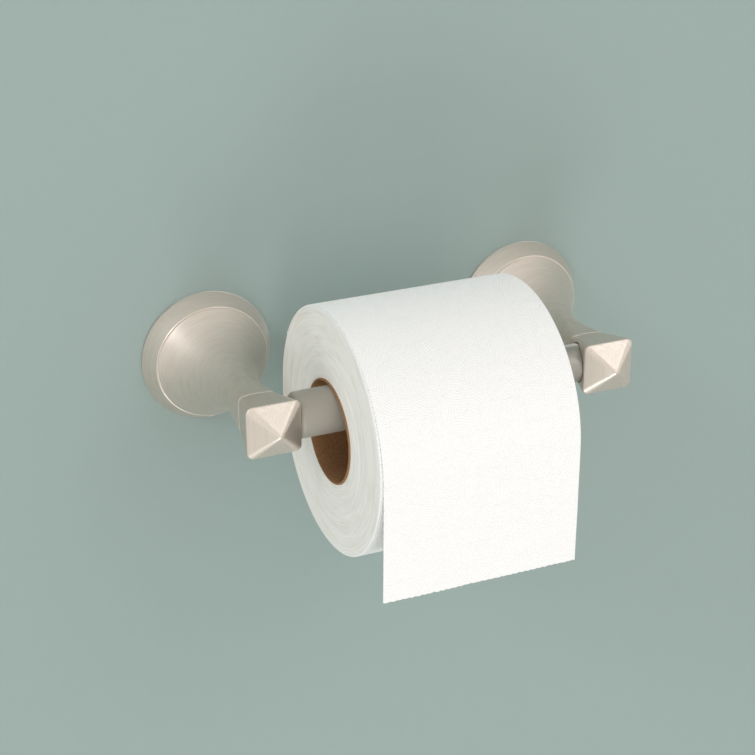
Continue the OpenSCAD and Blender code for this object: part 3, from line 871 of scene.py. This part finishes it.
def loose_sheet(material):
    """The outer wrap: it comes over the top of the roll, leaves it at the front and hangs down
    to a torn row of perforations."""
    thick, column_w = 0.15, 0.5
    wrap, wrap_rows, hang_rows = math.radians(150), 64, 60
    skew = sheet_low.x - roll_low.x - 0.3  # the wrap starts in line with the roll
    left, right = sheet_low.x, sheet_high.x
    drop = roll_z - sheet_low.z
    columns = int((right - left) / column_w)
    line = []
    for t in span(0, 1, wrap_rows):
        angle = wrap * (1 - t)
        r = roll_r + 0.08 + 0.47 * t ** 3
        line.append((roll_y - r * math.cos(angle), roll_z + r * math.sin(angle)))
    front = line[-1][0]
    line += [(front, roll_z - drop * t) for t in span(0, 1, hang_rows)[1:]]
    lengths = [0.0]
    for a, b in zip(line, line[1:]):
        lengths.append(lengths[-1] + math.dist(a, b))
    # the torn edge wanders, with a small tooth at every other few fibres
    tear = [0.30 * drift(i * 0.9, 3.1, 0) + 0.25 * drift(i * 0.37, 9.7, 0)
            + (0.22 if (i // 2) % 3 == 0 else 0) for i in range(columns + 1)]
    points, uvs = [], []
    for layer in (0, 1):
        for k, (y, z) in enumerate(line):
            hang = max(0.0, (roll_z - z) / drop) if k > wrap_rows else 0.0
            wound = max(0.0, 1 - k / wrap_rows)
            before, after = line[max(k - 1, 0)], line[min(k + 1, len(line) - 1)]
            ty, tz = after[0] - before[0], after[1] - before[1]
            size = math.hypot(ty, tz)
            ny, nz = tz / size, -ty / size
            for i in range(columns + 1):
                x = left + (right - left) * i / columns - skew * wound
                wave = hang * (0.55 * drift(x / 28, 0.5, hang) + 0.25 * drift(x / 9, 4.0, z / 18))
                curl = 0.5 * hang ** 2.5
                at_side = i in (0, columns)
                side = 0.05 * drift(z / 14, 5.5 if i else 8.5, 0) if at_side else 0
                last = tear[i] * max(0.0, 1 - (1 - hang) / 0.02) if hang > 0.98 else 0.0
                off = (layer - 0.5) * thick - wave * 0.6 - curl
                # the wrap's sides lie pressed on the roll
                near = thick * wound ** 0.5 / roll_r if at_side else 0
                points.append((x + side, y + ny * off + (roll_y - y) * near,
                               z + nz * off + last + (roll_z - z) * near))
                uvs.append((x, lengths[k]))
    rows, wide = len(line), columns + 1
    faces = []
    for layer in (0, 1):
        base = layer * rows * wide
        for k in range(rows - 1):
            for i in range(columns):
                a = base + k * wide + i
                faces.append((a, a + 1, a + wide + 1, a + wide))
    shift = rows * wide
    rim = [i for i in range(columns)] + [k * wide + columns for k in range(rows - 1)]
    rim += [(rows - 1) * wide + columns - i for i in range(columns)]
    rim += [(rows - 1 - k) * wide for k in range(rows - 1)]
    for a, b in zip(rim, rim[1:] + rim[:1]):
        faces.append((a, b, b + shift, a + shift))
    sheet = made("loose_sheet", points, faces, 70)
    uv = sheet.data.uv_layers.new(name="paper_mm")
    for loop in sheet.data.loops:
        uv.data[loop.index].uv = uvs[loop.vertex_index]
    sheet.data.materials.append(material)
    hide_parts("hanging_sheet")
    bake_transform(sheet)
    return sheet


# --- Stage, light and camera, in metres -----------------------------------------------------

holder = (0, -0.05, 0)
room_half_w, room_front, ceiling_z, floor_z = 4, -6, 3, -1.9
wall_y = 0.0001  # just clear of the flanges' backs


def panel(name, corners, material):
    """A flat part of the surroundings."""
    flat = made(name, [tuple(c / MM for c in p) for p in corners], [(0, 1, 2, 3)])
    flat.data.materials.append(material)
    return flat


def soft_light(name, place, size, power, tint):
    """A rectangular soft box that faces the holder."""
    light = bpy.data.lights.new(name, "AREA")
    light.shape = "RECTANGLE"
    light.size, light.size_y = size
    light.energy = power
    light.color = colour(tint)[:3]
    lamp = bpy.data.objects.new(name, light)
    bpy.context.scene.collection.objects.link(lamp)
    lamp.location = place
    lamp.rotation_euler = (Vector(holder) - lamp.location).to_track_quat("-Z", "Y").to_euler()
    return lamp


def surroundings():
    """A painted wall, a pale floor, an even white studio and three soft boxes in front."""
    wide, front = room_half_w, room_front
    wall = panel("wall", [(-wide, wall_y, floor_z), (wide, wall_y, floor_z),
                          (wide, wall_y, ceiling_z), (-wide, wall_y, ceiling_z)],
                 one_sided_wall())
    # the wall's visible side faces the room
    if wall.data.polygons[0].normal.y > 0:
        wall.data.flip_normals()
    panel("floor", [(-wide, front, floor_z), (wide, front, floor_z),
                    (wide, 0, floor_z), (-wide, 0, floor_z)], pale_floor())
    world = bpy.data.worlds.new("studio")
    bpy.context.scene.world = world
    world.use_nodes = True
    tree = world.node_tree
    way = add(tree, "ShaderNodeTexCoord").outputs["Generated"]
    height = add(tree, "ShaderNodeSeparateXYZ", {0: way}).outputs["Z"]
    glow = add(tree, "ShaderNodeMapRange",
               {"Value": height, "From Min": -1.0, "To Min": 1.05, "To Max": 0.98}).outputs[0]
    fill(tree, tree.nodes["Background"], {"Color": colour("#FFFCF9"), "Strength": glow})
    soft_light("left", (-1.7, -0.95, 1.2), (0.45, 0.45), 7, "#FAFBFF")
    soft_light("low_front", (-0.3, -1.4, -1.3), (0.9, 0.7), 7.2, "#FAFBFF")
    soft_light("high_right", (1.0, -1.5, 1.2), (0.9, 0.9), 3.4, "#FAFBFF")
    return wall


def leave_out(light, part, things):
    """Keeps a light's rays, or the shadows that it casts, away from the given things."""
    group = bpy.data.collections.new(light.name + "_" + part)
    for thing in things:
        group.objects.link(thing)
    for member in group.collection_objects:
        member.light_linking.link_state = "EXCLUDE"
    setattr(light.light_linking, part, group)


def back_light(wall, posts):
    """A light behind the wall, which shines through it onto the fixings and the back of the
    roll. It leaves out the posts, whose necks would throw it forward."""
    lamp = soft_light("back", (0.5, 1.3, 0.1), (1.2, 1.2), 6, "#FFFFFF")
    leave_out(lamp, "blocker_collection", [wall])
    leave_out(lamp, "receiver_collection", posts)


def camera():
    """The eye stands left of the holder and above it."""
    down, left, roll = (math.radians(a) for a in (24.195, 23.789, 0.124))
    cam = bpy.data.cameras.new("camera")
    cam.sensor_width = 36
    cam.lens = 87.8
    eye = bpy.data.objects.new("camera", cam)
    bpy.context.scene.collection.objects.link(eye)
    eye.location = (-0.3312, -0.7636, 0.3469)
    eye.rotation_mode = "QUATERNION"
    aim = Euler((math.pi / 2 - down, 0, -left)).to_quaternion()
    eye.rotation_quaternion = aim @ Quaternion((0, 0, 1), -roll)
    bpy.context.scene.camera = eye


# --- Making ---------------------------------------------------------------------------------

camera()
wall = surroundings()

posts = []
for side, word in ((-1, "left"), (1, "right")):
    nickel = satin_nickel("satin_nickel_" + word, side * post_x)
    posts.append(post(side, word + "_post", nickel))
    ring_nickel = satin_nickel("satin_nickel_ring_" + word, side * post_x, head=False)
    flange(side, word + "_flange", ring_nickel)
back_light(wall, posts)

# Moulded nylon, black and matt, with a faint mould grain
nylon = grained("black_nylon", "#17171A", "#101012", 0.4, 0.0, 0.45, 0.6, 0.02)
# Bare zinc die casting: bluish grey, dull, mottled where the metal chilled against the die
zinc = grained("zinc_casting", "#A9ADB0", "#8C9094", 0.7, 1.0, 0.42, 0.62, 0.05)
# Black oxide on steel: near black with a soft oily gloss
black_steel = grained("black_oxide_steel", "#2B2B2E", "#1F1F22", 0.3, 1.0, 0.35, 0.5, 0.02)
# Zinc plate with a pale yellow passivation, bright and slightly cloudy
plated = grained("zinc_plated_steel", "#C9C4B2", "#B9B49F", 0.35, 1.0, 0.22, 0.36, 0.015)
# Drawn spring wire, grey with a dull polish
wire = grained("spring_wire", "#8F9296", "#7B7E82", 0.25, 1.0, 0.28, 0.42, 0.01)

for side, word in ((-1, "left"), (1, "right")):
    socket_liner(side, word + "_socket_liner", nylon)
    low, high = box_mm(word + "_wall_screws")
    screws = [wall_screw(f"{word}_wall_screw_{place}", (low.x + high.x) / 2, z, plated)
              for place, z in (("upper", high.z - screw_head_r), ("lower", low.z + screw_head_r))]
    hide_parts(word + "_wall_screws")
    for node, material in ((word + "_bracket", zinc), (word + "_set_screw", black_steel)):
        frame["nodes"][node].data.materials.clear()
        frame["nodes"][node].data.materials.append(material)

roller_sleeve(metallic_paint("grey_metallic_paint", "#A8A399", "#9B968B", 0.15, 0.5))
roller_plunger(metallic_paint("bright_metallic_paint", "#A8A59D", "#9B9890", 0.5, 0.38))
roller_spring(wire)
roll_core(kraft_board())
tissue = embossed_tissue()
paper_roll(tissue, wound_tissue())
loose_sheet(tissue)

bpy.context.scene.view_settings.view_transform = "Standard"
